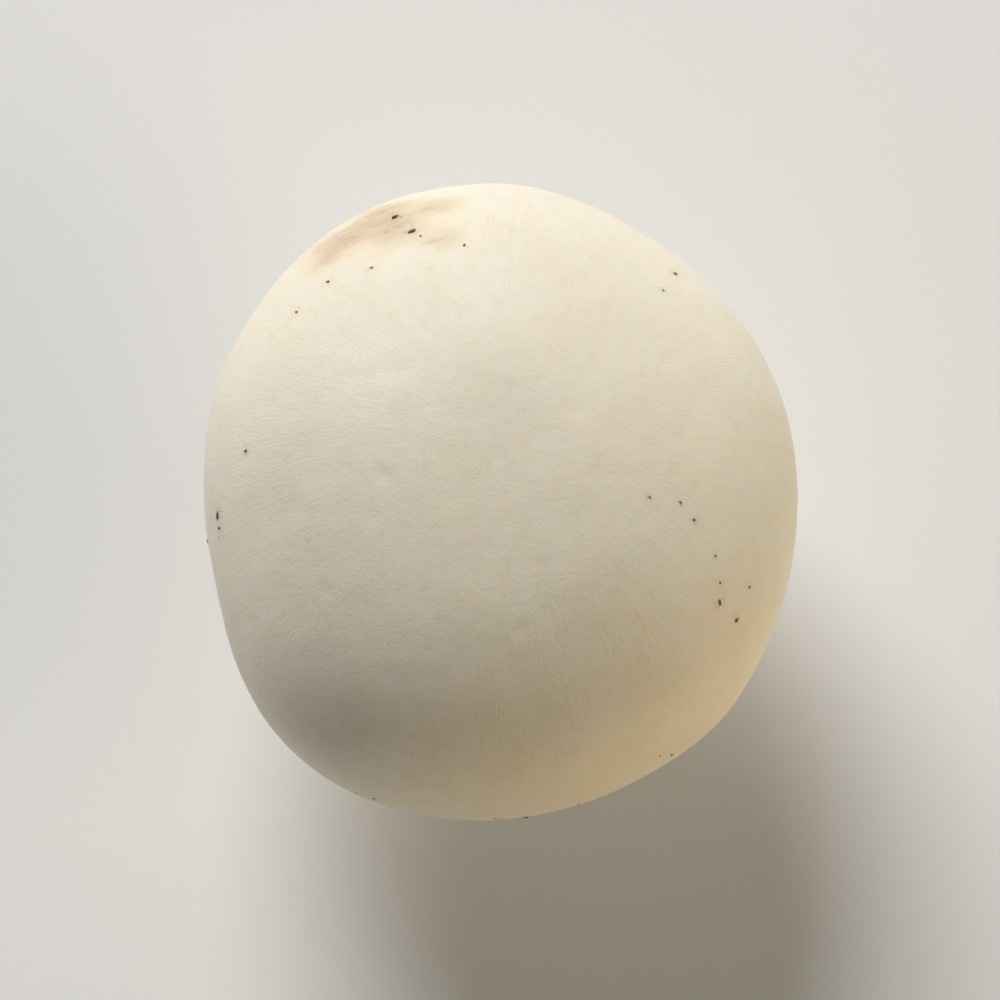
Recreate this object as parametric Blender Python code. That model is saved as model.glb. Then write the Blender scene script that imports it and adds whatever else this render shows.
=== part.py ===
"""A white button mushroom with its veil still closed, standing on its cut stem.

Cap, veil and stem grew as one body, so they are one closed solid. Its profile runs from the
crown of the cap down to the middle of the cut face and is spun round the axis. Growth then
moves every point of that even body. Metres, +Z up, origin at the middle of the cut face.
"""

from collections import namedtuple
from math import atan2, cos, pi, radians, sin

import bmesh
import bpy
from mathutils import Matrix, Vector, noise

MM = 0.001

# Driving dimensions of the even body, before growth
CAP_RADIUS = 26.0 * MM
CAP_TOP = 43.0 * MM
CAP_WIDEST_HEIGHT = 24.5 * MM
CROWN_FLATNESS = 2.2  # 2 gives an ellipse, and more is flatter on top
LIP_RADIUS = 20.8 * MM
LIP_HEIGHT = 14.4 * MM
GROOVE_RADIUS = 18.0 * MM
GROOVE_HEIGHT = 17.0 * MM
SKIRT_HEIGHT = 12.4 * MM
SKIRT_THICKNESS = 0.6 * MM
VEIL_BELLY = 0.5 * MM
NECK_RADIUS = 9.6 * MM
WAIST_RADIUS = 9.3 * MM
WAIST_HEIGHT = 7.0 * MM
CUT_RADIUS = 10.0 * MM
CUT_EDGE = 0.3 * MM
PITH_RADIUS = 3.2 * MM

# How far growth pulled the body out of true: waves are their count, size and leading azimuth
CAP_WAVES = ((2, 0.036, 89), (3, 0.017, -4), (4, 0.009, 55), (5, 0.006, 20), (6, 0.003, 47))
STEM_WAVES = ((2, 0.035, 40), (3, 0.015, 110), (5, 0.008, 15), (11, 0.008, 0))
LIP_WAVES = ((2, 0.45 * MM, 30), (3, 0.35 * MM, 75), (7, 0.15 * MM, 10))
CAP_SHIFT = Vector((0.6, -0.4, 0)) * MM
CAP_TILT = radians(2.0)
CAP_TILT_AXIS = Vector((1.0, 0.4, 0)).normalized()
LUMP_DEPTH = 0.45 * MM
LUMP_WIDTH = 15 * MM

# Relief of the underside: pleats across the veil, and its torn shreds on the lip's inner side
PLEATS = 16
PLEAT_DEPTH = 0.22 * MM
PLEAT_DRIFT = ((3, 1.1, 30), (5, 0.7, 7))  # how their spacing wanders, in radians
SHRED_WAVES = ((23, 0.30, 0), (17, 0.25, 50), (31, 0.20, 20), (5, 0.35, 80))
SHRED_LENGTH = 1.0 * MM
SHRED_PLACE = 0.62
SHRED_BREADTH = 0.3
SHRED_COVER = 0.5

# How finely the body is faceted
SEGMENTS = 96
CROWN_RINGS = 14
LIP_RINGS = 6
ROLL_RINGS = 6
VEIL_RINGS = 9
STEM_RINGS = 6
EDGE_RINGS = 2
MERGE_DISTANCE = 0.001 * MM
SHARP_ANGLE = radians(50)

SKIN_COLOUR = (0.80, 0.74, 0.62, 1)
SKIN_ROUGHNESS = 0.55

# A station of the even profile. along runs from 0 to 1 down its part.
Station = namedtuple("Station", "part along radius height")


def smooth(value, low, high):
    """0 below low and 1 above high, with a soft step between them."""
    share = min(1.0, max(0.0, (value - low) / (high - low)))
    return share * share * (3 - 2 * share)


def waves(azimuth, terms):
    """The sum of cosine waves round the axis, each given as count, size and azimuth in degrees."""
    return sum(size * cos(count * (azimuth - radians(lead))) for count, size, lead in terms)


def crown():
    """The dome, from its top down to the widest station."""
    rise = CAP_TOP - CAP_WIDEST_HEIGHT
    for step in range(CROWN_RINGS + 1):
        along = step / CROWN_RINGS
        turn = along * pi / 2
        out = sin(turn) ** (2 / CROWN_FLATNESS)
        up = max(0.0, cos(turn)) ** (2 / CROWN_FLATNESS)
        yield Station("crown", along, CAP_RADIUS * out, CAP_WIDEST_HEIGHT + rise * up)


def lip():
    """The underside of the cap's edge, a quarter ellipse from its widest to its lowest point."""
    for step in range(1, LIP_RINGS + 1):
        along = step / LIP_RINGS
        out = (CAP_RADIUS - LIP_RADIUS) * cos(along * pi / 2)
        down = (CAP_WIDEST_HEIGHT - LIP_HEIGHT) * sin(along * pi / 2)
        yield Station("lip", along, LIP_RADIUS + out, CAP_WIDEST_HEIGHT - down)


def roll():
    """The edge rolled in towards the stem, from its lowest point up to the groove at the veil."""
    for step in range(1, ROLL_RINGS + 1):
        along = step / ROLL_RINGS
        inward = (LIP_RADIUS - GROOVE_RADIUS) * sin(along * pi / 2)
        down = (GROOVE_HEIGHT - LIP_HEIGHT) * cos(along * pi / 2)
        yield Station("roll", along, LIP_RADIUS - inward, GROOVE_HEIGHT - down)


def veil():
    """The membrane from the groove to the stem. It bellies, then sweeps down into a skirt."""
    skirt_radius = NECK_RADIUS + SKIRT_THICKNESS
    sweep = GROOVE_HEIGHT - SKIRT_HEIGHT
    for step in range(1, VEIL_RINGS + 1):
        along = step / VEIL_RINGS
        inward = (GROOVE_RADIUS - skirt_radius) * sin(along * pi / 2)
        down = VEIL_BELLY * sin(pi * along) + sweep * along**3
        yield Station("veil", along, GROOVE_RADIUS - inward, GROOVE_HEIGHT - down)


def stem():
    """The stem, from just above the skirt's edge down to the cut, narrowest at its waist."""
    top = SKIRT_HEIGHT + 0.5 * SKIRT_THICKNESS
    for step in range(STEM_RINGS):
        along = step / (STEM_RINGS - 1)
        height = top + (CUT_EDGE - top) * along
        neck = (NECK_RADIUS - WAIST_RADIUS) * smooth(height, WAIST_HEIGHT, top)
        foot = (CUT_RADIUS - WAIST_RADIUS) * (1 - smooth(height, 0, WAIST_HEIGHT))
        yield Station("stem", along, WAIST_RADIUS + neck + foot, height)


def cut():
    """The flat cut: its slightly rounded edge, the ring round the pith, and its middle."""
    for step in range(1, EDGE_RINGS + 1):
        turn = step / EDGE_RINGS * pi / 2
        inset = CUT_EDGE * (1 - cos(turn))
        yield Station("cut", 0.0, CUT_RADIUS - inset, CUT_EDGE * (1 - sin(turn)))
    yield Station("cut", 0.5, PITH_RADIUS, 0.0)
    yield Station("cut", 1.0, 0.0, 0.0)


def cap_share(station):
    """1 where a station moves with the cap and 0 where it belongs to the stem."""
    if station.part in ("stem", "cut"):
        return 0.0
    return smooth(station.radius, NECK_RADIUS, GROOVE_RADIUS) if station.part == "veil" else 1.0


def hang(station, azimuth):
    """How far the veil's pleats and shreds hang below the even underside."""
    if station.part == "veil":
        pleat = sin(PLEATS * azimuth + waves(azimuth, PLEAT_DRIFT))
        return PLEAT_DEPTH * pleat * sin(pi * station.along)
    if station.part == "roll":
        ragged = min(1.0, max(0.0, SHRED_COVER + waves(azimuth, SHRED_WAVES)))
        ridge = 1 - smooth(abs(station.along - SHRED_PLACE), 0, SHRED_BREADTH)
        return SHRED_LENGTH * ragged * ridge
    return 0.0


def grown(station, azimuth):
    """Where growth left the point of a station at an azimuth."""
    share = cap_share(station)
    stretch = 1 + share * waves(azimuth, CAP_WAVES) + (1 - share) * waves(azimuth, STEM_WAVES)
    radius = station.radius * stretch
    lowness = 1 - smooth(station.height, LIP_HEIGHT, CAP_WIDEST_HEIGHT)
    waved = share * lowness * waves(azimuth, LIP_WAVES)
    height = station.height - hang(station, azimuth) + waved
    return settled(Vector((radius * cos(azimuth), radius * sin(azimuth), height)), share)


def settled(point, share):
    """A point after the cap's lumps, its tilt on the neck and its shift off the stem's axis."""
    middle = Vector((0, 0, CAP_WIDEST_HEIGHT))
    lump = noise.noise(point / LUMP_WIDTH) * LUMP_DEPTH * share
    point = point + (point - middle).normalized() * lump
    neck = Vector((0, 0, SKIRT_HEIGHT))
    tilt = Matrix.Rotation(CAP_TILT * share, 3, CAP_TILT_AXIS)
    point = neck + tilt @ (point - neck)
    return point + CAP_SHIFT * smooth(point.z, 0, LIP_HEIGHT)


def mushroom_mesh():
    """The profile spun round the axis into one closed skin, then grown out of true."""
    stations = [*crown(), *lip(), *roll(), *veil(), *stem(), *cut()]
    skin = bmesh.new()
    number = skin.verts.layers.int.new("station")
    profile = []
    for index, station in enumerate(stations):
        profile.append(skin.verts.new((station.radius, 0, station.height)))
        profile[-1][number] = index
    edges = [skin.edges.new(ends) for ends in zip(profile, profile[1:])]
    bmesh.ops.spin(
        skin,
        geom=profile + edges,
        cent=(0, 0, 0),
        axis=(0, 0, 1),
        angle=2 * pi,
        steps=SEGMENTS,
        use_merge=True,
    )
    bmesh.ops.remove_doubles(skin, verts=skin.verts, dist=MERGE_DISTANCE)
    for vert in skin.verts:
        vert.co = grown(stations[vert[number]], atan2(vert.co.y, vert.co.x))
    bmesh.ops.recalc_face_normals(skin, faces=skin.faces)
    mesh = bpy.data.meshes.new("button_mushroom")
    skin.to_mesh(mesh)
    skin.free()
    mesh.shade_smooth()
    mesh.set_sharp_from_angle(angle=SHARP_ANGLE)
    return mesh


def skin_material():
    """Creamy white, silky mushroom skin."""
    material = bpy.data.materials.new("mushroom_skin")
    material.use_nodes = True
    shader = material.node_tree.nodes["Principled BSDF"]
    shader.inputs["Base Color"].default_value = SKIN_COLOUR
    shader.inputs["Roughness"].default_value = SKIN_ROUGHNESS
    shader.inputs["Metallic"].default_value = 0.0
    return material


def main():
    for old in list(bpy.data.objects):
        bpy.data.objects.remove(old)
    mushroom = bpy.data.objects.new("button_mushroom", mushroom_mesh())
    mushroom.data.materials.append(skin_material())
    bpy.context.scene.collection.objects.link(mushroom)


main()
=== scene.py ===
from math import cos, pi, radians, sin

import bmesh
import bpy
import numpy as np
from mathutils import Matrix, Vector, noise
from mathutils.bvhtree import BVHTree


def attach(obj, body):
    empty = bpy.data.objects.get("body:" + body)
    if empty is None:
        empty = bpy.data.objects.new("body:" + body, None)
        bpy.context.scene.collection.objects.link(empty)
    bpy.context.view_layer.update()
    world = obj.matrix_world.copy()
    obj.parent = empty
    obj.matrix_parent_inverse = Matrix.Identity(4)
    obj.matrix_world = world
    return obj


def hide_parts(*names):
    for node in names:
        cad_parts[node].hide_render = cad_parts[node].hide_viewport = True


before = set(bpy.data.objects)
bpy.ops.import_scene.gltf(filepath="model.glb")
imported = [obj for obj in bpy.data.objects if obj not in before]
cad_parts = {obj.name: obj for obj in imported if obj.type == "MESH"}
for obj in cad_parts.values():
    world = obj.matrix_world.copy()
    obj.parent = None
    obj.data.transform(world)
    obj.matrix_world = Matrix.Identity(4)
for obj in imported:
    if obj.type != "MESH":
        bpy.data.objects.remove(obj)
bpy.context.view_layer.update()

# The mushroom: one grown body of white flesh. A silky skin covers the cap and rolls in under
# its edge, a cottony veil is stretched from that edge to the stem, and the fibrous stem was
# cut flat with a knife.
MM = 0.001
CAP_RADIUS = 26.0 * MM
CAP_TOP = 43.0 * MM
CAP_WIDEST_HEIGHT = 24.5 * MM
CROWN_FLATNESS = 2.2
LIP_RADIUS = 20.8 * MM
LIP_HEIGHT = 14.4 * MM
GROOVE_RADIUS = 18.0 * MM
GROOVE_HEIGHT = 17.0 * MM
SKIRT_HEIGHT = 12.4 * MM
SKIRT_THICKNESS = 0.6 * MM
VEIL_BELLY = 0.5 * MM
NECK_RADIUS = 9.6 * MM
WAIST_RADIUS = 9.3 * MM
WAIST_HEIGHT = 7.0 * MM
CUT_RADIUS = 10.0 * MM
CUT_EDGE = 0.3 * MM
PITH_RADIUS = 3.2 * MM

# Growth, as waves round the axis (count, size, leading azimuth), a lean and soft lumps
CAP_WAVES = ((2, 0.036, 89), (3, 0.017, -4), (4, 0.009, 55), (5, 0.006, 20), (6, 0.003, 47))
STEM_WAVES = ((2, 0.035, 40), (3, 0.015, 110), (5, 0.008, 15), (11, 0.008, 0))
LIP_WAVES = ((2, 0.45 * MM, 30), (3, 0.35 * MM, 75), (7, 0.15 * MM, 10))
CAP_SHIFT = np.array((0.6, -0.4, 0)) * MM
CAP_TILT = radians(2.0)
CAP_TILT_AXIS = Vector((1.0, 0.4, 0)).normalized()
LUMP_DEPTH = 0.45 * MM
LUMP_WIDTH = 15 * MM
PLEATS = 16
PLEAT_DEPTH = 0.22 * MM
PLEAT_DRIFT = ((3, 1.1, 30), (5, 0.7, 7))
SHRED_WAVES = ((23, 0.30, 0), (17, 0.25, 50), (31, 0.20, 20), (5, 0.35, 80))
SHRED_LENGTH = 1.0 * MM
SHRED_PLACE = 0.62
SHRED_BREADTH = 0.3
SHRED_COVER = 0.5

# The skin's net: a box of square cells whose top becomes the crown's middle, whose sides
# become rings round the body, and whose bottom becomes the cut. Each row is a part of the
# profile, how far down it the rings start and end, and how many there are.
PATCH = 56
MERGE_DISTANCE = 0.1  # of a cell
NET = (
    ("crown", 0.0, 0.5, PATCH),
    ("crown", 0.5, 1.0, 46),
    ("lip", 0.0, 1.0, 32),
    ("roll", 0.0, 1.0, 13),
    ("veil", 0.0, 1.0, 27),
    ("stem", 0.0, 1.0, 29),
    ("edge", 0.0, 1.0, 3),
    ("cut", 0.0, 1.0, PATCH),
)
SIDE_RINGS = sum(rings for part, start, end, rings in NET[1:-1])


def smooth(value, low, high):
    """0 below low and 1 above high, with a soft step between them."""
    share = np.clip((value - low) / (high - low), 0, 1)
    return share * share * (3 - 2 * share)


def waves(azimuth, terms):
    """The sum of cosine waves round the axis, each given as count, size and azimuth in degrees."""
    return sum(size * np.cos(count * (azimuth - radians(lead))) for count, size, lead in terms)


def lumps(points, width, seed=0):
    """Smooth noise from -1 to 1 whose lumps are about as wide as width at each point."""
    scaled = points / np.broadcast_to(width, points.shape) + seed
    return np.array([noise.noise(point) for point in scaled.tolist()])


def profile(part, along):
    """Radius and height of the even body, a share of the way down one of its parts."""
    rise, fall = sin(along * pi / 2), max(0.0, cos(along * pi / 2))
    if part == "crown":
        up = (CAP_TOP - CAP_WIDEST_HEIGHT) * fall ** (2 / CROWN_FLATNESS)
        return CAP_RADIUS * rise ** (2 / CROWN_FLATNESS), CAP_WIDEST_HEIGHT + up
    if part == "lip":
        down = (CAP_WIDEST_HEIGHT - LIP_HEIGHT) * rise
        return LIP_RADIUS + (CAP_RADIUS - LIP_RADIUS) * fall, CAP_WIDEST_HEIGHT - down
    if part == "roll":
        down = (GROOVE_HEIGHT - LIP_HEIGHT) * fall
        return LIP_RADIUS - (LIP_RADIUS - GROOVE_RADIUS) * rise, GROOVE_HEIGHT - down
    if part == "veil":
        inward = (GROOVE_RADIUS - NECK_RADIUS - SKIRT_THICKNESS) * rise
        down = VEIL_BELLY * sin(pi * along) + (GROOVE_HEIGHT - SKIRT_HEIGHT) * along**3
        return GROOVE_RADIUS - inward, GROOVE_HEIGHT - down
    if part == "stem":
        top = SKIRT_HEIGHT + 0.5 * SKIRT_THICKNESS
        height = top + (CUT_EDGE - top) * along
        neck = (NECK_RADIUS - WAIST_RADIUS) * smooth(height, WAIST_HEIGHT, top)
        foot = (CUT_RADIUS - WAIST_RADIUS) * (1 - smooth(height, 0, WAIST_HEIGHT))
        return WAIST_RADIUS + neck + foot, height
    if part == "edge":
        return CUT_RADIUS - CUT_EDGE * (1 - fall), CUT_EDGE * (1 - rise)
    return (CUT_RADIUS - CUT_EDGE) * (1 - along), 0.0


def netted_box():
    """The net before it is wrapped: a closed box of cells, each 1 unit wide.

    It stands on its crown side, so it faces inwards until the wrapping turns it over.
    """
    net = bmesh.new()
    for level in (0, SIDE_RINGS):
        bmesh.ops.create_grid(
            net,
            x_segments=2 * PATCH,
            y_segments=2 * PATCH,
            size=PATCH,
            matrix=Matrix.Translation((0, 0, level)),
        )
    rim = [edge for edge in net.edges if edge.is_boundary and edge.verts[0].co.z == 0]
    for level in range(SIDE_RINGS):
        made = bmesh.ops.extrude_edge_only(net, edges=rim)["geom"]
        fresh = [item for item in made if isinstance(item, bmesh.types.BMVert)]
        bmesh.ops.translate(net, verts=fresh, vec=(0, 0, 1))
        rim = [item for item in made if isinstance(item, bmesh.types.BMEdge)]
        rim = [edge for edge in rim if edge.is_boundary]
    bmesh.ops.remove_doubles(net, verts=net.verts, dist=MERGE_DISTANCE)
    bmesh.ops.recalc_face_normals(net, faces=net.faces)
    bmesh.ops.reverse_faces(net, faces=net.faces)
    return net


def wrapped(box):
    """For each corner of the box, its place on the profile (part, share down it) and its azimuth."""
    x, y, level = box.T
    square = np.maximum(abs(x), abs(y))
    down = np.where(level < SIDE_RINGS, square + level, 2 * PATCH + SIDE_RINGS - square)
    flat = abs(x) >= abs(y)
    longer, shorter = np.where(flat, x, y), np.where(flat, y, -x)
    turned = pi / 4 * shorter / np.where(longer == 0, 1, longer) + np.where(flat, 0, pi / 2)
    azimuth = turned + np.where(longer < 0, pi, 0)
    stations = [("crown", 0.0)]
    for part, start, end, rings in NET:
        stations += [(part, start + (end - start) * step / rings) for step in range(1, rings + 1)]
    return stations, down.round().astype(int), azimuth


def grown(stations, down, azimuth):
    """Where growth left each point of the wrapped net, and how much it moves with the cap."""
    even = np.array([profile(part, along) for part, along in stations])
    radius, height = even[down].T
    part = np.array([part for part, along in stations])[down]
    along = np.array([along for part, along in stations])[down]
    veil, roll = part == "veil", part == "roll"
    rooted = (part == "stem") | (part == "edge") | (part == "cut")
    share = np.where(rooted, 0, np.where(veil, smooth(radius, NECK_RADIUS, GROOVE_RADIUS), 1))
    drifted = PLEATS * azimuth + waves(azimuth, PLEAT_DRIFT)
    pleats = PLEAT_DEPTH * np.sin(drifted) * np.sin(pi * along)
    ridge = 1 - smooth(abs(along - SHRED_PLACE), 0, SHRED_BREADTH)
    shreds = SHRED_LENGTH * np.clip(SHRED_COVER + waves(azimuth, SHRED_WAVES), 0, 1) * ridge
    lowness = 1 - smooth(height, LIP_HEIGHT, CAP_WIDEST_HEIGHT)
    height = height - veil * pleats - roll * shreds + share * lowness * waves(azimuth, LIP_WAVES)
    radius = radius * (1 + share * waves(azimuth, CAP_WAVES) + (1 - share) * waves(azimuth, STEM_WAVES))
    points = np.stack((radius * np.cos(azimuth), radius * np.sin(azimuth), height), axis=1)
    outward = points - np.array((0, 0, CAP_WIDEST_HEIGHT))
    outward /= np.linalg.norm(outward, axis=1)[:, None]
    points += outward * (lumps(points, LUMP_WIDTH) * LUMP_DEPTH * share)[:, None]
    neck = np.array((0, 0, SKIRT_HEIGHT))
    tilt = np.array(Matrix.Rotation(CAP_TILT, 3, CAP_TILT_AXIS)) - np.eye(3)
    points += ((points - neck) @ tilt.T) * share[:, None]
    points += CAP_SHIFT * smooth(points[:, 2], 0, LIP_HEIGHT)[:, None]
    return points, part, along


# Fine relief on the grown body: soft swells and shallow pits in the cap, sunk bruises near its
# edge, wrinkles under the lip, cottony veil fibres, the stem's long fibres and the knife's marks
SWELL_DEPTH = 0.09 * MM
SWELL_WIDTH = 6 * MM
RIPPLE_WIDTH = 2.2 * MM
RIPPLE_SHARE = 0.25
PITS = 70
PIT_RADIUS = (0.7 * MM, 1.9 * MM)
PIT_DEPTH = (0.02 * MM, 0.07 * MM)
BRUISE_DEPTH = 0.10 * MM
BRUISE_EDGE_WIDTH = 4 * MM
BRUISE_EDGE_WAVER = 0.30
BRUISE_DENT_WIDTH = 1.4 * MM
BRUISE_DENT_SHARE = 0.5
BRUISE_FADE = 1.1  # where it ends, as a share of its reach
# Each bruise's middle, its reach and how strong it is
BRUISES = (
    (np.array((-9.6, 20.2, 34.9)) * MM, np.array((9.5, 6.8, 8.0)) * MM, 1.0),
    (np.array((-3.8, 17.7, 38.8)) * MM, np.array((3.4, 2.4, 2.4)) * MM, 0.6),
)
# A warm tint low on the side that faces this way: partly the skin's own tan, partly painted warm light
# bounced onto it from beside
MELLOW_BOUNCE_WAY = Vector((0.50, -0.80, -0.30)).normalized()
MELLOW_BOUNCE_START = 0.25 * CAP_RADIUS
WRINKLE_WIDTH = 0.9 * MM
WRINKLE_LENGTH = 5 * MM
WRINKLE_DEPTH = 0.11 * MM
COTTON_WIDTH = 0.8 * MM
COTTON_DEPTH = 0.07 * MM
FOLD_WIDTH = 1.1 * MM
FOLD_LENGTH = 6 * MM
FOLD_DEPTH = 1.2 * COTTON_DEPTH
FIBRE_WIDTH = 0.6 * MM
FIBRE_LENGTH = 7 * MM
FIBRE_DEPTH = 0.10 * MM
KNIFE_STROKE = np.array((7 * MM, 0.45 * MM, MM))
KNIFE_DEPTH = 0.10 * MM
PITH_DEPTH = 0.35 * MM
FOOT_HEIGHT = 5 * MM


def stretched(azimuth, radius, run, width, length, seed=0):
    """Noise drawn out into fibres: width across, round the axis, and length along the run."""
    across = radius / width
    places = np.stack((across * np.cos(azimuth), across * np.sin(azimuth), run / length), axis=1)
    return lumps(places, 1.0, seed)


def pitted(points, cap):
    """The depth of seeded shallow pits scattered over the cap."""
    chance = np.random.default_rng(7)
    depth = np.zeros(len(points))
    for centre in points[chance.choice(np.flatnonzero(cap), PITS)]:
        reach, sunk = chance.uniform(*PIT_RADIUS), chance.uniform(*PIT_DEPTH)
        away = np.linalg.norm(points - centre, axis=1)
        depth = np.maximum(depth, sunk * (1 - smooth(away, 0, reach)))
    return depth * cap


def relief(points, part, along, azimuth):
    """How far the fine relief raises each point, and the masks that its finish uses."""
    cap, lip = (part == "crown") | (part == "lip"), part == "lip"
    roll, veil, stem, cut = (part == name for name in ("roll", "veil", "stem", "cut"))
    radius, height = np.hypot(points[:, 0], points[:, 1]), points[:, 2]
    uneven = BRUISE_EDGE_WAVER * lumps(points, BRUISE_EDGE_WIDTH, seed=21)
    bruise = np.zeros(len(points))
    for place, reach, strength in BRUISES:
        away = np.linalg.norm((points - place) / reach, axis=1)
        bruise = np.maximum(bruise, strength * (1 - smooth(away + uneven, 0.0, BRUISE_FADE)))
    sides = (points - np.array((0, 0, CAP_WIDEST_HEIGHT))) @ np.array(MELLOW_BOUNCE_WAY)
    under = np.where(lip, smooth(along, 0.2, 0.9), roll)
    ends = np.sin(pi * np.clip(along, 0, 1))
    fringe = roll * (1 - smooth(abs(along - SHRED_PLACE), 0, 0.5))
    swells = lumps(points, SWELL_WIDTH, seed=3) + RIPPLE_SHARE * lumps(points, RIPPLE_WIDTH, seed=9)
    raised = SWELL_DEPTH * swells * cap
    raised -= pitted(points, cap)
    dents = BRUISE_DENT_SHARE * lumps(points, BRUISE_DENT_WIDTH, seed=5)
    raised -= BRUISE_DEPTH * bruise * (1 + dents) * cap
    wrinkles = stretched(azimuth, LIP_RADIUS, radius, WRINKLE_WIDTH, WRINKLE_LENGTH, seed=2)
    raised += WRINKLE_DEPTH * wrinkles * under
    raised += COTTON_DEPTH * lumps(points, COTTON_WIDTH, seed=4) * (fringe + veil * ends)
    folds = stretched(azimuth, GROOVE_RADIUS, radius, FOLD_WIDTH, FOLD_LENGTH, seed=6)
    raised += FOLD_DEPTH * folds * veil * ends
    fibres = stretched(azimuth, WAIST_RADIUS, height, FIBRE_WIDTH, FIBRE_LENGTH, seed=8)
    grooves = stretched(azimuth, WAIST_RADIUS, height, 3 * FIBRE_WIDTH, 2 * FIBRE_LENGTH, seed=11)
    raised += FIBRE_DEPTH * (fibres + 0.8 * grooves) * stem * smooth(along, 0, 0.15)
    inside = smooth(along, 0, 0.06)
    sunk = KNIFE_DEPTH * (0.8 + 0.5 * lumps(points / KNIFE_STROKE, 1.0, seed=12))
    sunk += PITH_DEPTH * (1 - smooth(radius, 0.5 * PITH_RADIUS, 1.3 * PITH_RADIUS))
    raised -= sunk * inside * cut
    groove = np.where(roll, smooth(along, 0.4, 1), veil * (1 - smooth(along, 0, 0.35)))
    masks = {
        "bruise": bruise * cap,
        # painted warm bounce light, mixed with the skin's own tan, low on one side
        "mellow_and_bounce_light": smooth(sides, MELLOW_BOUNCE_START, CAP_RADIUS) * (cap | roll),
        "under": under,
        "veil": np.where(roll, smooth(along, 0.3, 0.8), veil),
        "groove": groove,
        "stem": stem | (part == "edge"),
        "foot": stem * (1 - smooth(height, 0, FOOT_HEIGHT)) + (part == "edge"),
        "cut": cut * smooth(along, 0, 0.03),
        "rim": cut * smooth(radius, 0.6 * CUT_RADIUS, CUT_RADIUS),
        "pith": cut * (1 - smooth(radius, 0.6 * PITH_RADIUS, 1.4 * PITH_RADIUS)),
    }
    return raised, masks


def skin_mesh():
    """The net wrapped, grown and raised into relief, with its masks as attributes."""
    net = netted_box()
    mesh = bpy.data.meshes.new("mushroom")
    net.to_mesh(mesh)
    net.free()
    count = len(mesh.vertices)
    box = np.empty(3 * count, np.float32)
    mesh.vertices.foreach_get("co", box)
    stations, down, azimuth = wrapped(box.reshape(-1, 3))
    points, part, along = grown(stations, down, azimuth)
    mesh.vertices.foreach_set("co", points.astype(np.float32).ravel())
    mesh.update()
    outward = np.empty(3 * count, np.float32)
    mesh.vertex_normals.foreach_get("vector", outward)
    raised, masks = relief(points, part, along, azimuth)
    points += outward.reshape(-1, 3) * raised[:, None]
    points[:, 2] = np.maximum(points[:, 2], 0)
    mesh.vertices.foreach_set("co", points.astype(np.float32).ravel())
    for name, values in masks.items():
        layer = mesh.attributes.new(name, "FLOAT", "POINT")
        layer.data.foreach_set("value", values.astype(np.float32))
    mesh.update()
    mesh.shade_smooth()
    return mesh


class Socket:
    """One output of a finish's nodes. Arithmetic on it adds Math nodes."""

    def __init__(self, finish, output):
        self.finish = finish
        self.output = output

    def __add__(self, other):
        return self.finish.sum("ADD", self, other)

    def __sub__(self, other):
        return self.finish.sum("SUBTRACT", self, other)

    def __rsub__(self, other):
        return self.finish.sum("SUBTRACT", other, self)

    def __mul__(self, other):
        return self.finish.sum("MULTIPLY", self, other)

    __radd__ = __add__
    __rmul__ = __mul__


class Finish:
    """A material and the nodes that vary it over a surface."""

    def __init__(self, name, **even):
        self.material = bpy.data.materials.new(name)
        self.material.use_nodes = True
        self.tree = self.material.node_tree
        self.shader = self.tree.nodes["Principled BSDF"]
        for name, value in even.items():
            self.entry(name).default_value = value

    def entry(self, name):
        """The shader's socket of a name written with underscores."""
        return self.shader.inputs[name.replace("_", " ").title().replace("Ior", "IOR")]

    def node(self, kind, settings, entries, output=0):
        """An output of a new node. Its settings are set first, then its sockets' values or links."""
        made = self.tree.nodes.new("ShaderNode" + kind)
        for name, value in settings.items():
            setattr(made, name, value)
        for name, value in entries.items():
            self.feed(made.inputs[name], value)
        return Socket(self, made.outputs[output])

    def feed(self, entry, value):
        if isinstance(value, Socket):
            self.tree.links.new(value.output, entry)
        else:
            entry.default_value = value

    def sum(self, operation, first, second):
        return self.node("Math", {"operation": operation}, {0: first, 1: second})

    def mask(self, name):
        """A mask that the mesh carries."""
        return self.node("Attribute", {"attribute_name": name}, {}, "Fac")

    def place(self):
        """The point being shaded, in the part's frame."""
        return self.node("TexCoord", {}, {}, "Object")

    def vector(self, operation, first, *others, output=0):
        entries = {0: first, **{index + 1: other for index, other in enumerate(others)}}
        return self.node("VectorMath", {"operation": operation}, entries, output)

    def noise(self, place, width, detail=2.0, roughness=0.5):
        """Smooth noise from 0 to 1 whose lumps are about as wide as width."""
        entries = {"Vector": place, "Scale": 1 / width, "Detail": detail, "Roughness": roughness}
        return self.node("TexNoise", {}, entries, "Fac")

    def step(self, value, low, high):
        """0 below low and 1 above high, with a soft step between them."""
        settings = {"interpolation_type": "SMOOTHSTEP"}
        return self.node("MapRange", settings, {"Value": value, "From Min": low, "From Max": high})

    def mix(self, factor, first, second):
        """One colour laid over another by a factor."""
        entries = {0: factor, 6: colour(first), 7: colour(second)}
        return self.node("Mix", {"data_type": "RGBA"}, entries, "Result")

    def wear(self, **varied):
        """Feeds the shader's sockets that vary over the surface."""
        for name, value in varied.items():
            self.feed(self.entry(name), value)
        return self.material


def colour(value):
    return value if isinstance(value, Socket) else (*value, 1.0)


# The flesh's colours
WHITE = (0.89, 0.84, 0.72)
CREAM = (0.86, 0.79, 0.62)
# A warm tone for the silky streaks, and for the painted warm bounce light low on one side
MELLOW_BOUNCE_TONE = (0.88, 0.70, 0.43)
TAN = (0.66, 0.50, 0.31)
SALLOW = (0.86, 0.74, 0.50)
BRUISED = (0.60, 0.43, 0.28)
BROWN = (0.33, 0.22, 0.13)
COTTON = (0.86, 0.80, 0.69)
SHADED_COTTON = (0.62, 0.49, 0.35)
CUT_FLESH = (0.78, 0.69, 0.53)
CUT_RIM = (0.60, 0.43, 0.26)
PITH = (0.66, 0.54, 0.38)

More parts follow.
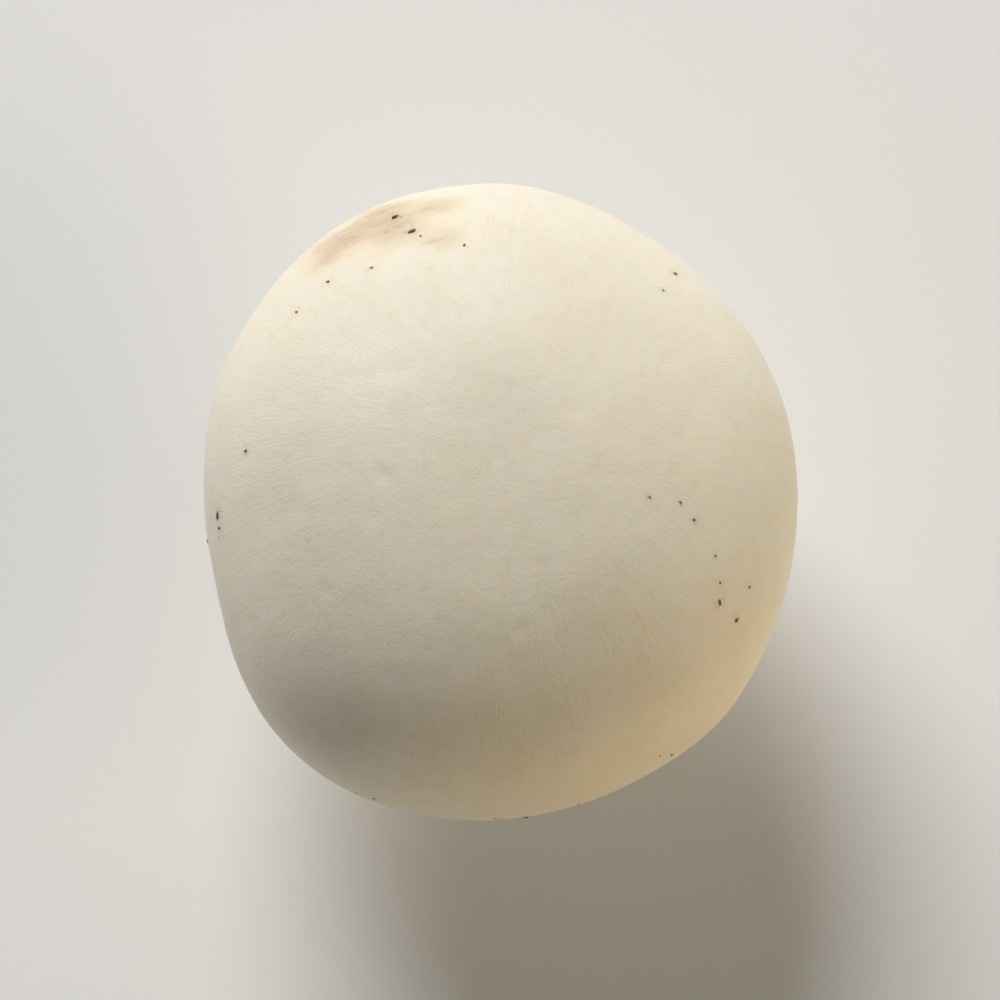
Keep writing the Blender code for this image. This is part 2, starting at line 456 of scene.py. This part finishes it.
# How wide each pattern of the finish is
CLOUD_WIDTH = 11 * MM
MOTTLE_WIDTH = 2.4 * MM
BLOTCH_WIDTH = 1.3 * MM
GRAIN_WIDTH = 0.30 * MM
FIBRIL_WIDTH = 0.26 * MM
SILK_WIDTH = 0.9 * MM
FLUFF_WIDTH = 0.45 * MM
FRECKLE_WIDTH = 0.9 * MM
RUB_WIDTH = 0.40 * MM
RUB_PATCH_WIDTH = 5.5 * MM
HANDLED_WIDTH = 5 * MM
STREAK_WIDTH = 1.5 * MM
SMUDGE_WIDTH = 0.9 * MM
SMEAR_WIDTH = 0.6 * MM
DULLNESS_WIDTH = 1.1 * MM

# How much distances count each way, which draws out the fibres, rubs and streaks
FIBRE_STRETCH = 0.12
RUB_STRETCH = (1.0, 0.10, 0.25)
STREAK_STRETCH = (0.45, 1.0, 1.0)

# Heights of the finest relief, in mm, and how far from the axis the fibrils fade in
GRAIN_HEIGHT = 0.032
FIBRIL_HEIGHT = 0.028
MOTTLE_HEIGHT = 0.055
RUB_DEPTH = 0.012
FLUFF_HEIGHT = 0.05
THREAD_HEIGHT = 0.04
FIBRILS_FADE_IN = (3 * MM, 16 * MM)
LIGHT_REACH = 1.6 * MM  # how far light spreads inside the flesh


def flesh():
    """White skin with a cream cast, warmer low on one side, partly its own tan and partly painted warm
    bounce light, and tanned where it was bruised.
    """
    finish = Finish(
        "flesh",
        subsurface_weight=0.5,
        subsurface_radius=(1.0, 0.72, 0.42),
        subsurface_scale=LIGHT_REACH,
        sheen_weight=0.08,
        sheen_roughness=0.4,
    )
    place = finish.place()
    around = finish.vector("MULTIPLY", place, (1, 1, 0))
    radial = finish.vector("NORMALIZE", around)
    shortened = finish.vector("MULTIPLY", place, (FIBRE_STRETCH,) * 3)
    fibre_place = finish.vector("MULTIPLY_ADD", radial, (CAP_RADIUS,) * 3, shortened)
    away = finish.vector("LENGTH", around, output="Value")
    bruise, mellow_and_bounce_light, under = finish.mask("bruise"), finish.mask("mellow_and_bounce_light"), finish.mask("under")
    veil, groove, stem = finish.mask("veil"), finish.mask("groove"), finish.mask("stem")
    foot, cut, rim = finish.mask("foot"), finish.mask("cut"), finish.mask("rim")
    pith, stain = finish.mask("pith"), finish.mask("stain")

    clouds = finish.noise(place, CLOUD_WIDTH, 2.0)
    mottle = finish.noise(place, MOTTLE_WIDTH, 4.0, 0.6)
    grain = finish.noise(place, GRAIN_WIDTH, 3.0, 0.6)
    fibrils = finish.noise(fibre_place, FIBRIL_WIDTH, 3.0)
    silk = finish.noise(fibre_place, SILK_WIDTH, 4.0, 0.6)
    cottony = finish.noise(place, FLUFF_WIDTH, 5.0, 0.7)
    drawn = finish.step(away, *FIBRILS_FADE_IN)
    freckles = finish.step(finish.noise(place, FRECKLE_WIDTH, 2.0), 0.66, 0.74)
    freckles = freckles * finish.step(clouds, 0.45, 0.6)
    rub_place = finish.vector("MULTIPLY", place, RUB_STRETCH)
    rubs = finish.step(finish.noise(rub_place, RUB_WIDTH, 1.0), 0.66, 0.76)
    rubs = rubs * finish.step(finish.noise(place, RUB_PATCH_WIDTH, 1.0), 0.56, 0.68)

    tone = finish.mix(finish.step(clouds, 0.35, 0.70) * 0.35 + mottle * 0.35, WHITE, CREAM)
    # Painted warm bounce light, with some of the skin's own tan, low on one side
    tone = finish.mix(mellow_and_bounce_light * (0.15 + 0.8 * clouds + 0.5 * mottle), tone, MELLOW_BOUNCE_TONE)
    tone = finish.mix(freckles * 0.16 + rubs * 0.14, tone, TAN)
    blotches = finish.noise(place, BLOTCH_WIDTH, 4.0, 0.65)
    tone = finish.mix(finish.step(blotches, 0.46, 0.74) * 0.12, tone, TAN)
    tone = finish.mix(finish.step(fibrils, 0.55, 0.85) * drawn * 0.12, tone, TAN)
    tone = finish.mix(finish.step(silk, 0.50, 0.72) * drawn * 0.22, tone, MELLOW_BOUNCE_TONE)
    handled = finish.step(finish.noise(place, HANDLED_WIDTH, 5.0, 0.62), 0.56, 0.74)
    tone = finish.mix(under * handled * 0.35, tone, TAN)
    streak_place = finish.vector("MULTIPLY", place, STREAK_STRETCH)
    streaks = finish.noise(streak_place, STREAK_WIDTH, 5.0, 0.68)
    sore = bruise * (0.25 + 1.4 * streaks)
    tone = finish.mix(finish.step(sore, 0.02, 0.40) * 0.55, tone, SALLOW)
    tone = finish.mix(finish.step(sore, 0.20, 0.95) * 0.72, tone, BRUISED)
    smudges = finish.step(finish.noise(streak_place, SMUDGE_WIDTH, 4.0, 0.62), 0.54, 0.72)
    tone = finish.mix(finish.step(bruise, 0.20, 0.80) * smudges * 0.38, tone, BROWN)
    smears = finish.noise(place, SMEAR_WIDTH, 4.0, 0.65)
    tone = finish.mix(stain * finish.step(smears, 0.42, 0.66) * 0.34, tone, BROWN)
    tone = finish.mix(under * 0.35, tone, CREAM)
    tone = finish.mix(veil * 0.8, tone, COTTON)
    tone = finish.mix(groove * (0.35 + 0.6 * mottle), tone, SHADED_COTTON)
    tone = finish.mix(stem * 0.8, tone, COTTON)
    tone = finish.mix((stem + veil) * finish.step(fibrils, 0.5, 0.8) * 0.18, tone, TAN)
    tone = finish.mix(finish.step(foot * (0.4 + mottle), 0.35, 0.95) * 0.6, tone, TAN)
    tone = finish.mix(cut, tone, finish.mix(finish.step(mottle, 0.3, 0.75) * 0.5, CUT_FLESH, PITH))
    tone = finish.mix(cut * finish.step(grain * mottle, 0.30, 0.45) * 0.4, tone, TAN)
    tone = finish.mix(rim * (0.2 + 0.9 * mottle), tone, CUT_RIM)
    tone = finish.mix(pith * (0.3 + 0.7 * grain), tone, PITH)

    height = GRAIN_HEIGHT * grain + FIBRIL_HEIGHT * (fibrils * drawn) + MOTTLE_HEIGHT * mottle
    height = height - RUB_DEPTH * rubs
    height = height + (veil + stem) * (FLUFF_HEIGHT * cottony + THREAD_HEIGHT * fibrils)
    height = height + FLUFF_HEIGHT * (cut * cottony)
    bump = finish.node("Bump", {}, {"Height": height, "Distance": MM}, "Normal")
    dull = finish.noise(place, DULLNESS_WIDTH, 3.0)
    roughness = 0.38 + 0.16 * dull + 0.10 * clouds + 0.10 * grain
    roughness = roughness + 0.22 * (veil + stem) + 0.16 * cut
    return finish.wear(base_color=tone, roughness=roughness, normal=bump)


mushroom = bpy.data.objects.new("mushroom", skin_mesh())
mushroom.data.materials.append(flesh())
bpy.context.scene.collection.objects.link(mushroom)
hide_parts("button_mushroom")
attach(mushroom, "root")

# Crumbs of peat: dark grains of the bed that the mushroom was picked from. They cling to the
# skin, half sunk in it, and leave a faint stain round them.
CAMERA_ELEVATION = radians(75)
SIGHT = Vector((0, -cos(CAMERA_ELEVATION), sin(CAMERA_ELEVATION)))
SIGHT_UP = Vector((0, sin(CAMERA_ELEVATION), cos(CAMERA_ELEVATION)))
CAP_MIDDLE = Vector((0.0011, -0.0004, 0.024))

# The crumbs that show from above: right and up from the cap's middle, and width, in mm
SEEN_CRUMBS = (
    (-8.7, 23.4, 0.36),
    (-7.2, 22.1, 0.38),
    (-2.9, 20.8, 0.20),
    (-10.5, 19.0, 0.22),
    (-14.1, 17.9, 0.24),
    (-16.7, 15.4, 0.20),
    (-20.7, 4.0, 0.22),
    (-23.2, -1.3, 0.34),
    (-23.0, -2.3, 0.25),
    (14.5, 18.7, 0.30),
    (13.4, 17.2, 0.18),
    (12.0, 0.2, 0.20),
    (14.5, -0.2, 0.20),
    (15.6, -1.6, 0.22),
    (17.4, -4.5, 0.22),
    (17.8, -6.7, 0.20),
    (17.8, -8.3, 0.28),
    (20.3, -7.1, 0.18),
    (19.2, -9.8, 0.32),
)
COMPANIONS = 3
COMPANION_REACH = 1.3 * MM
COMPANION_SCATTER = 0.4
COMPANION_SIZE = (0.2, 0.45)
CLEAR_OF_CAP = 0.1

# Crumbs scattered over the side, veil and stem, and a few finer ones on the crown
FINE_CRUMBS = 110
FINE_CRUMB_WIDTH = (0.09 * MM, 0.28 * MM)
FREE_HEIGHT = 1 * MM
CROWN_SLOPE = 0.1
CROWN_CHANCE = 0.015
CROWN_SIZE = 0.6

CRUMB_LENGTH = (0.8, 1.7)
CRUMB_FLATNESS = (0.35, 0.7)
LARGE_CRUMB = 0.3 * MM
CRUMB_LUMPS = ((0.9, 2.4), (0.45, 6))  # their size and how many there are across a crumb
CRUMB_DENT = 0.6
CRUMB_SINK = 0.25
STAIN_REACH = 4.0
STAIN_STRENGTH = 3 / MM
PEAT = (0.15, 0.10, 0.065)
PATCH_WIDTH = 0.25 * MM
GRIT_WIDTH = 0.05 * MM
GRIT_HEIGHT = 0.03


def crumb_places(skin):
    """Where each crumb sits on the skin, the way out of the skin there, and its width."""
    surface = BVHTree.FromPolygons(
        [vert.co for vert in skin.vertices], [tuple(face.vertices) for face in skin.polygons]
    )
    chance = np.random.default_rng(31)
    for right, up, width in SEEN_CRUMBS:
        start = CAP_MIDDLE + Vector((right * MM, 0, 0)) + SIGHT_UP * (up * MM) + SIGHT * CLEAR_OF_CAP
        place, outward, face, distance = surface.ray_cast(start, -SIGHT)
        if not place:
            continue
        yield place, outward, width * MM
        for companion in range(int(COMPANIONS * min(1, 2 * width))):
            beside = place + Vector(chance.normal(0, COMPANION_SCATTER, 3)) * COMPANION_REACH
            beside, outward, face, distance = surface.find_nearest(beside)
            yield beside, outward, width * MM * chance.uniform(*COMPANION_SIZE)
    order = chance.permutation(len(skin.vertices))
    taken = 0
    for index in order.tolist():
        place, outward = skin.vertices[index].co, skin.vertices[index].normal
        crown = outward.z > CROWN_SLOPE
        if place.z < FREE_HEIGHT or (crown and chance.random() > CROWN_CHANCE):
            continue
        width = chance.uniform(*FINE_CRUMB_WIDTH) * (CROWN_SIZE if crown else 1)
        yield place.copy(), outward.copy(), width
        taken += 1
        if taken == FINE_CRUMBS:
            break


def crumbs_mesh(places):
    """All the crumbs: lumpy grains, each turned its own way and sunk a little into the skin."""
    net = bmesh.new()
    chance = np.random.default_rng(5)
    for place, outward, width in places:
        long, flat = chance.uniform(*CRUMB_LENGTH), chance.uniform(*CRUMB_FLATNESS)
        turn = outward.to_track_quat("Z", "Y").to_matrix().to_4x4()
        turn = turn @ Matrix.Rotation(chance.uniform(0, 2 * pi), 4, "Z")
        fineness = 3 if width > LARGE_CRUMB else 2
        grain = bmesh.ops.create_icosphere(net, subdivisions=fineness, radius=0.5)["verts"]
        seed = Vector(chance.uniform(0, 50, 3))
        for vert in grain:
            lump = sum(size * noise.noise(vert.co * count + seed) for size, count in CRUMB_LUMPS)
            vert.co *= 1 + max(-CRUMB_DENT, lump)
            vert.co = Vector((vert.co.x * long, vert.co.y, vert.co.z * flat)) * width
            vert.co = turn @ vert.co + place + outward * (0.5 - CRUMB_SINK) * flat * width
    mesh = bpy.data.meshes.new("peat_crumbs")
    net.to_mesh(mesh)
    net.free()
    mesh.shade_smooth()
    return mesh


def stain(skin, places):
    """Marks the skin round each crumb, for the stain that the flesh's finish shows there."""
    count = len(skin.vertices)
    points = np.empty(3 * count, np.float32)
    skin.vertices.foreach_get("co", points)
    points = points.reshape(-1, 3)
    marked = np.zeros(count, np.float32)
    for place, outward, width in places:
        away = np.linalg.norm(points - np.array(place), axis=1)
        strength = min(1, width * STAIN_STRENGTH)
        marked = np.maximum(marked, strength * (1 - smooth(away, 0, STAIN_REACH * width)))
    skin.attributes.new("stain", "FLOAT", "POINT").data.foreach_set("value", marked)


def peat():
    """Dark, dull, crumbly peat, browner in places."""
    finish = Finish("peat", specular_ior_level=0.3)
    place = finish.place()
    patches = finish.noise(place, PATCH_WIDTH, 3.0)
    grit = finish.noise(place, GRIT_WIDTH, 3.0)
    tone = finish.mix(finish.step(patches, 0.4, 0.7), PEAT, BROWN)
    bump = finish.node("Bump", {}, {"Height": GRIT_HEIGHT * grit, "Distance": MM}, "Normal")
    return finish.wear(base_color=tone, roughness=0.8 + 0.15 * grit, normal=bump)


crumb_spots = list(crumb_places(mushroom.data))
stain(mushroom.data, crumb_spots)
crumbs = bpy.data.objects.new("peat_crumbs", crumbs_mesh(crumb_spots))
crumbs.data.materials.append(peat())
bpy.context.scene.collection.objects.link(crumbs)
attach(crumbs, "root")

# Torn shreds: thin tatters of skin and veil, left hanging from the rolled edge where the veil
# pulled away from it as the cap grew.
SHREDS = 68
SHRED_WIDTH = (0.8 * MM, 2.8 * MM)
SHRED_HANG = (0.5 * MM, 1.4 * MM)
SHRED_THICKNESS = 0.10 * MM
SHRED_THINNING = 0.7
SHRED_NARROWING = 0.35
SHRED_ROOT_DEPTH = 0.25 * MM
SHRED_ROOT_PLACE = (0.12, 0.75)
SHRED_STRAY = 0.6
SHRED_CORNERS = (0.12, 0.88)
SHRED_BLUNTNESS = 0.6
SHRED_LEAN = (-0.7, 0.5)
SHRED_CURL = (-0.5, 0.9)
CURL_LIFT = 0.3
SHRED_TEETH = (0.62, 1.0)
SHRED_RIPPLE = 0.14 * MM
SHRED_RIPPLE_WIDTH = 0.6 * MM
SHRED_RIPPLES_DOWN = 3
SHRED_ROWS = 6
SHRED_COLUMNS = 12
DRY_PATCH_WIDTH = 1.6 * MM
THREAD_WIDTH = 0.14 * MM
THREAD_STRETCH = (1, 1, 0.2)
TATTER_THREAD_HEIGHT = 0.05
TATTER_LIGHT_REACH = 0.5 * MM


def shred_points(chance, azimuth):
    """One shred's rows of points, from its root inside the edge to its ragged end."""
    width, hang = chance.uniform(*SHRED_WIDTH), chance.uniform(*SHRED_HANG)
    root_along = chance.uniform(*SHRED_ROOT_PLACE)
    spread = width / LIP_RADIUS * np.linspace(-0.5, 0.5, SHRED_COLUMNS)
    rounded = np.sin(pi * np.linspace(*SHRED_CORNERS, SHRED_COLUMNS)) ** SHRED_BLUNTNESS
    tooth = rounded * chance.uniform(*SHRED_TEETH, SHRED_COLUMNS)
    station = [("roll", root_along)]
    root, part, along = grown(station, np.zeros(SHRED_COLUMNS, int), azimuth + spread)
    outward = Vector((cos(azimuth), sin(azimuth), 0))
    lean, curl = chance.uniform(*SHRED_LEAN), chance.uniform(*SHRED_CURL)
    rows = []
    for row in range(SHRED_ROWS + 1):
        share = row / SHRED_ROWS
        narrow = 1 - SHRED_NARROWING * share
        line = []
        for column in range(SHRED_COLUMNS):
            base = Vector(root[column])
            middle = Vector(root[SHRED_COLUMNS // 2])
            reach = hang * tooth[column] * share
            fall = Vector((0, 0, -1)) * reach * (1 - CURL_LIFT * share * abs(curl))
            swing = outward * reach * (lean + curl * share)
            spot = base / SHRED_RIPPLE_WIDTH + Vector((0, 0, SHRED_RIPPLES_DOWN * share))
            ripple = SHRED_RIPPLE * noise.noise(spot)
            start = middle + (base - middle) * narrow + Vector((0, 0, SHRED_ROOT_DEPTH))
            line.append(start + fall + swing + outward * ripple)
        rows.append(line)
    return rows


def shreds_mesh():
    """Every shred as a thin closed flap, spaced unevenly round the edge."""
    chance = np.random.default_rng(12)
    net = bmesh.new()
    strays = chance.uniform(-SHRED_STRAY, SHRED_STRAY, SHREDS)
    for azimuth in 2 * pi * (np.arange(SHREDS) + strays) / SHREDS:
        rows = shred_points(chance, azimuth)
        outward = Vector((cos(azimuth), sin(azimuth), 0))
        sheets = []
        for side in (-0.5, 0.5):
            sheet = []
            for row, line in enumerate(rows):
                thinned = SHRED_THICKNESS * (1 - SHRED_THINNING * row / SHRED_ROWS)
                sheet.append([net.verts.new(point + outward * thinned * side) for point in line])
            sheets.append(sheet)
        for sheet in sheets:
            for upper, lower in zip(sheet, sheet[1:]):
                for left in range(SHRED_COLUMNS - 1):
                    net.faces.new((upper[left], upper[left + 1], lower[left + 1], lower[left]))
        borders = [
            [[line[0] for line in sheet] for sheet in sheets],
            [[line[-1] for line in sheet] for sheet in sheets],
            [sheet[0] for sheet in sheets],
            [sheet[-1] for sheet in sheets],
        ]
        for inner, outer in borders:
            for near in range(len(inner) - 1):
                net.faces.new((inner[near], inner[near + 1], outer[near + 1], outer[near]))
    bmesh.ops.recalc_face_normals(net, faces=net.faces)
    mesh = bpy.data.meshes.new("edge_shreds")
    net.to_mesh(mesh)
    net.free()
    mesh.shade_smooth()
    return mesh


def tatter():
    """Thin dry skin, creamier than the flesh and browned here and there."""
    finish = Finish(
        "tatter",
        subsurface_weight=0.7,
        subsurface_radius=(1.0, 0.75, 0.5),
        subsurface_scale=TATTER_LIGHT_REACH,
    )
    place = finish.place()
    patches = finish.noise(place, DRY_PATCH_WIDTH, 3.0)
    thread_place = finish.vector("MULTIPLY", place, THREAD_STRETCH)
    threads = finish.noise(thread_place, THREAD_WIDTH, 3.0)
    tone = finish.mix(finish.step(patches, 0.40, 0.75) * 0.55, COTTON, TAN)
    tone = finish.mix(threads * 0.35, tone, CREAM)
    height = TATTER_THREAD_HEIGHT * threads
    bump = finish.node("Bump", {}, {"Height": height, "Distance": MM}, "Normal")
    return finish.wear(base_color=tone, roughness=0.6 + 0.2 * threads, normal=bump)


shreds = bpy.data.objects.new("edge_shreds", shreds_mesh())
shreds.data.materials.append(tatter())
bpy.context.scene.collection.objects.link(shreds)
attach(shreds, "root")

# The board and the light: a plain pale board, a large soft lamp high behind the mushroom, a
# weaker warm one on its right, and a pale room that fills the shadows.
BOARD_REACH = 6.0
BOARD_COLOUR = (0.90, 0.90, 0.895, 1)
LAMP_AIM = Vector((0, 0, 0.02))
ROOM_COLOUR = (1.0, 0.96, 0.88, 1)
ROOM_STRENGTH = 0.125

board_net = bmesh.new()
bmesh.ops.create_grid(board_net, x_segments=1, y_segments=1, size=BOARD_REACH)
board_mesh = bpy.data.meshes.new("board")
board_net.to_mesh(board_mesh)
board_net.free()
board_mesh.materials.append(Finish("board", base_color=BOARD_COLOUR, roughness=0.85).material)
board = bpy.data.objects.new("board", board_mesh)
bpy.context.scene.collection.objects.link(board)


def lamp(name, place, size, power, tint):
    """A soft round lamp that shines at the mushroom."""
    light = bpy.data.lights.new(name, "AREA")
    light.shape = "DISK"
    light.size = size
    light.energy = power
    light.color = tint
    item = bpy.data.objects.new(name, light)
    item.location = place
    item.rotation_euler = (LAMP_AIM - Vector(place)).to_track_quat("-Z", "Y").to_euler()
    bpy.context.scene.collection.objects.link(item)


lamp("key", place=(-0.42, 1.18, 0.91), size=0.95, power=23.2, tint=(1.0, 0.99, 0.985))
lamp("fill", place=(1.35, -0.44, 0.43), size=0.875, power=8.0, tint=(1.0, 0.90, 0.69))

world = bpy.data.worlds.new("room")
world.use_nodes = True
background = world.node_tree.nodes["Background"]
background.inputs["Color"].default_value = ROOM_COLOUR
background.inputs["Strength"].default_value = ROOM_STRENGTH
bpy.context.scene.world = world

# The camera looks down on the cap, as the photographer did.
CAMERA_DISTANCE = 0.38
FRAME_HEIGHT = 0.084
camera_data = bpy.data.cameras.new("camera")
camera_data.lens = camera_data.sensor_width * CAMERA_DISTANCE / FRAME_HEIGHT
camera = bpy.data.objects.new("camera", camera_data)
camera.location = CAP_MIDDLE + SIGHT * CAMERA_DISTANCE
camera.rotation_euler = (-SIGHT).to_track_quat("-Z", "Y").to_euler()
bpy.context.scene.collection.objects.link(camera)
bpy.context.scene.camera = camera
bpy.context.scene.view_settings.view_transform = "Standard"
